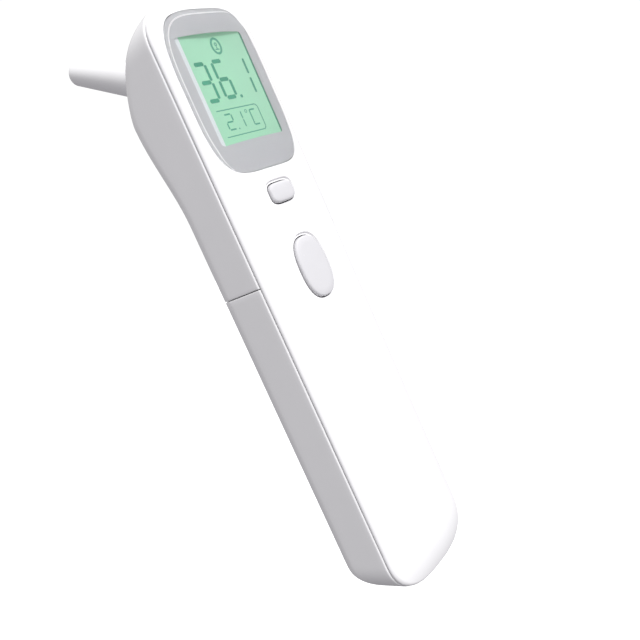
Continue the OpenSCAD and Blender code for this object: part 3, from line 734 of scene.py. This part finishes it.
carried = {
    "lcd_frame": surface("frame_moulded", (0.78, 0.78, 0.76), 0.5, bump=0.05),
    "backlight_panel": surface("backlight_diffuser", (0.55, 0.85, 0.68), 0.4, bump=0.03),
    "contact_strip": surface("contact_rubber", (0.12, 0.12, 0.125), 0.75, bump=0.1,
                             stretch=(40, 1, 1), vary=0.4),
    "main_board": surface("board_mask", (0.02, 0.16, 0.07), 0.38, grain=900, bump=0.12, vary=0.35,
                          coat=0.3),
    "controller_chip": surface("chip_epoxy", (0.02, 0.02, 0.022), 0.55, bump=0.12, vary=0.2),
    "board_parts": surface("parts_ceramic", (0.45, 0.33, 0.20), 0.5, bump=0.08, vary=0.2),
    "buzzer": surface("buzzer_case", (0.025, 0.025, 0.028), 0.45, bump=0.08, vary=0.2),
    "sensor_socket": surface("socket_ivory", (0.78, 0.73, 0.60), 0.5, bump=0.05),
    "sensor_flex": surface("flex_film", (0.55, 0.26, 0.05), 0.3, grain=700, bump=0.03, vary=0.15,
                           stretch=(6, 1, 1)),
    "mode_plunger": surface("plunger_a", (0.03, 0.03, 0.033), 0.5, bump=0.06),
    "scan_plunger": surface("plunger_b", (0.03, 0.03, 0.033), 0.5, bump=0.06),
    "mode_switch": surface("switch_can", (0.60, 0.60, 0.62), 0.3, metallic=1.0, bump=0.04,
                           stretch=(1, 1, 12)),
    "probe_window": window_dark,
    "sensor_sleeve": surface("sleeve_gold", (0.83, 0.62, 0.25), 0.2, metallic=1.0, bump=0.03,
                             stretch=(1, 8, 1)),
    "sensor_can": surface("sensor_can_steel", (0.62, 0.62, 0.64), 0.25, metallic=1.0, bump=0.03),
    "sensor_holder": surface("holder_alloy", (0.68, 0.68, 0.70), 0.32, metallic=1.0, bump=0.05,
                             stretch=(1, 10, 1)),
    "seal_ring": surface("seal_rubber", (0.02, 0.02, 0.021), 0.7, bump=0.08),
    "battery_tray": surface("tray_moulded", (0.74, 0.74, 0.73), 0.48, bump=0.06, vary=0.02),
    "battery_springs": surface("spring_wire", (0.66, 0.66, 0.68), 0.25, metallic=1.0, bump=0.02),
    "supply_contacts": surface("contact_plate", (0.70, 0.70, 0.71), 0.3, metallic=1.0, bump=0.05,
                               stretch=(10, 1, 1)),
    "housing_screws": surface("screw_plated", (0.56, 0.56, 0.58), 0.32, metallic=1.0, bump=0.06),
}
carried["scan_switch"] = carried["mode_switch"]
carried["bridge_contact"] = carried["supply_contacts"]
carried["board_screws"] = carried["housing_screws"]


def jacket(name):
    """Battery jacket: a dark wrap with a coloured band towards the button and bare metal ends."""
    mat, nodes, links, shader = principled(name)
    coord = nodes.new("ShaderNodeTexCoord")
    split = nodes.new("ShaderNodeSeparateXYZ")
    links.new(coord.outputs["Object"], split.inputs["Vector"])
    span = nodes.new("ShaderNodeMapRange")
    lo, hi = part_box(name)
    up = name == "battery_left"
    span.inputs["From Min"].default_value = lo[2] if up else hi[2]
    span.inputs["From Max"].default_value = hi[2] if up else lo[2]
    links.new(split.outputs["Z"], span.inputs["Value"])
    ramp = nodes.new("ShaderNodeValToRGB")
    ramp.color_ramp.interpolation = "CONSTANT"
    stops = ((0.0, (0.60, 0.60, 0.62)), (0.02, (0.030, 0.040, 0.055)), (0.72, (0.60, 0.42, 0.16)),
             (0.955, (0.60, 0.60, 0.62)))
    for i, (pos, color) in enumerate(stops):
        spot = ramp.color_ramp.elements[i] if i < 2 else ramp.color_ramp.elements.new(pos)
        spot.position, spot.color = pos, (*color, 1)
    links.new(span.outputs["Result"], ramp.inputs["Fac"])
    links.new(ramp.outputs["Color"], shader.inputs["Base Color"])
    noise = nodes.new("ShaderNodeTexNoise")
    noise.inputs["Scale"].default_value = 900
    links.new(coord.outputs["Object"], noise.inputs["Vector"])
    rough = nodes.new("ShaderNodeMapRange")
    rough.inputs["To Min"].default_value = 0.22
    rough.inputs["To Max"].default_value = 0.36
    links.new(noise.outputs["Fac"], rough.inputs["Value"])
    links.new(rough.outputs["Result"], shader.inputs["Roughness"])
    shader.inputs["Metallic"].default_value = 0.7
    return mat


for node in ("battery_left", "battery_right"):
    carried[node] = jacket(node)
for node, mat in carried.items():
    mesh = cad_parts[node].data
    mesh.materials.clear()
    mesh.materials.append(mat)

# ---- Stage, light and camera ----

# The floor shows to the camera, but neither lights the part nor reflects in it
FLOOR_HALF, FLOOR_Z = 40, -0.20
floor_mesh = bpy.data.meshes.new("floor")
corners = [(x * FLOOR_HALF, y * FLOOR_HALF, FLOOR_Z) for x, y in ((-1, -1), (1, -1), (1, 1), (-1, 1))]
floor_mesh.from_pydata(corners, [], [(0, 1, 2, 3)])
floor = bpy.data.objects.new("floor", floor_mesh)
bpy.context.scene.collection.objects.link(floor)
pale, _, _, pale_shader = principled("floor_pale")
pale_shader.inputs["Base Color"].default_value = (0.90, 0.90, 0.905, 1)
pale_shader.inputs["Roughness"].default_value = 0.9
pale_shader.inputs["Emission Color"].default_value = (1, 1, 1, 1)
pale_shader.inputs["Emission Strength"].default_value = 0.3
floor_mesh.materials.append(pale)
floor.visible_diffuse = floor.visible_glossy = floor.visible_transmission = False

# The part is lit by a grey that brightens upwards; the camera itself sees plain white
world = bpy.data.worlds.new("studio")
bpy.context.scene.world = world
world.use_nodes = True
wn, wl = world.node_tree.nodes, world.node_tree.links
back = wn["Background"]
sky = wn.new("ShaderNodeTexCoord")
split = wn.new("ShaderNodeSeparateXYZ")
wl.new(sky.outputs["Generated"], split.inputs["Vector"])
level = wn.new("ShaderNodeMapRange")
level.inputs["From Min"].default_value = -1
level.inputs["From Max"].default_value = 1
wl.new(split.outputs["Z"], level.inputs["Value"])
shade = wn.new("ShaderNodeValToRGB")
stops = shade.color_ramp.elements
for spot, value in zip((stops[0], stops[1], stops.new(0.45)), (0.32, 0.80, 0.50)):
    spot.color = (0.965 * value, 0.945 * value, 1.0 * value, 1)
wl.new(level.outputs["Result"], shade.inputs["Fac"])
wl.new(shade.outputs["Color"], back.inputs["Color"])
back.inputs["Strength"].default_value = 0.85
seen = wn.new("ShaderNodeBackground")
seen.inputs["Color"].default_value = (1, 1, 1, 1)
seen.inputs["Strength"].default_value = 1.05
path = wn.new("ShaderNodeLightPath")
mix = wn.new("ShaderNodeMixShader")
wl.new(path.outputs["Is Camera Ray"], mix.inputs["Fac"])
wl.new(back.outputs["Background"], mix.inputs[1])
wl.new(seen.outputs["Background"], mix.inputs[2])
wl.new(mix.outputs["Shader"], wn["World Output"].inputs["Surface"])


key_data = bpy.data.lights.new("key", "SUN")
key_data.energy, key_data.angle = 3.2, math.radians(24)
key_light = bpy.data.objects.new("key", key_data)
key_light.rotation_euler = Vector((0.10, 0.80, -0.50)).to_track_quat("-Z", "Y").to_euler()
bpy.context.scene.collection.objects.link(key_light)
key_light.visible_glossy = False  # the sun itself does not show in reflections

camera_data = bpy.data.cameras.new("camera")
camera = bpy.data.objects.new("camera", camera_data)
bpy.context.scene.collection.objects.link(camera)
forward = Vector((0.71765, 0.68646, -0.11729)).normalized()
upward = Vector((0.35926, -0.22065, 0.90678)).normalized()
side = forward.cross(upward).normalized()
upward = side.cross(forward)
turn = Matrix((side, upward, -forward)).transposed().to_4x4()
camera.matrix_world = Matrix.Translation(Vector((-0.12245, -0.12116, 0.04314))) @ turn
camera_data.sensor_width = 36
camera_data.lens = 39.15
camera_data.clip_start = 0.005
bpy.context.scene.camera = camera
bpy.context.scene.view_settings.view_transform = "Standard"
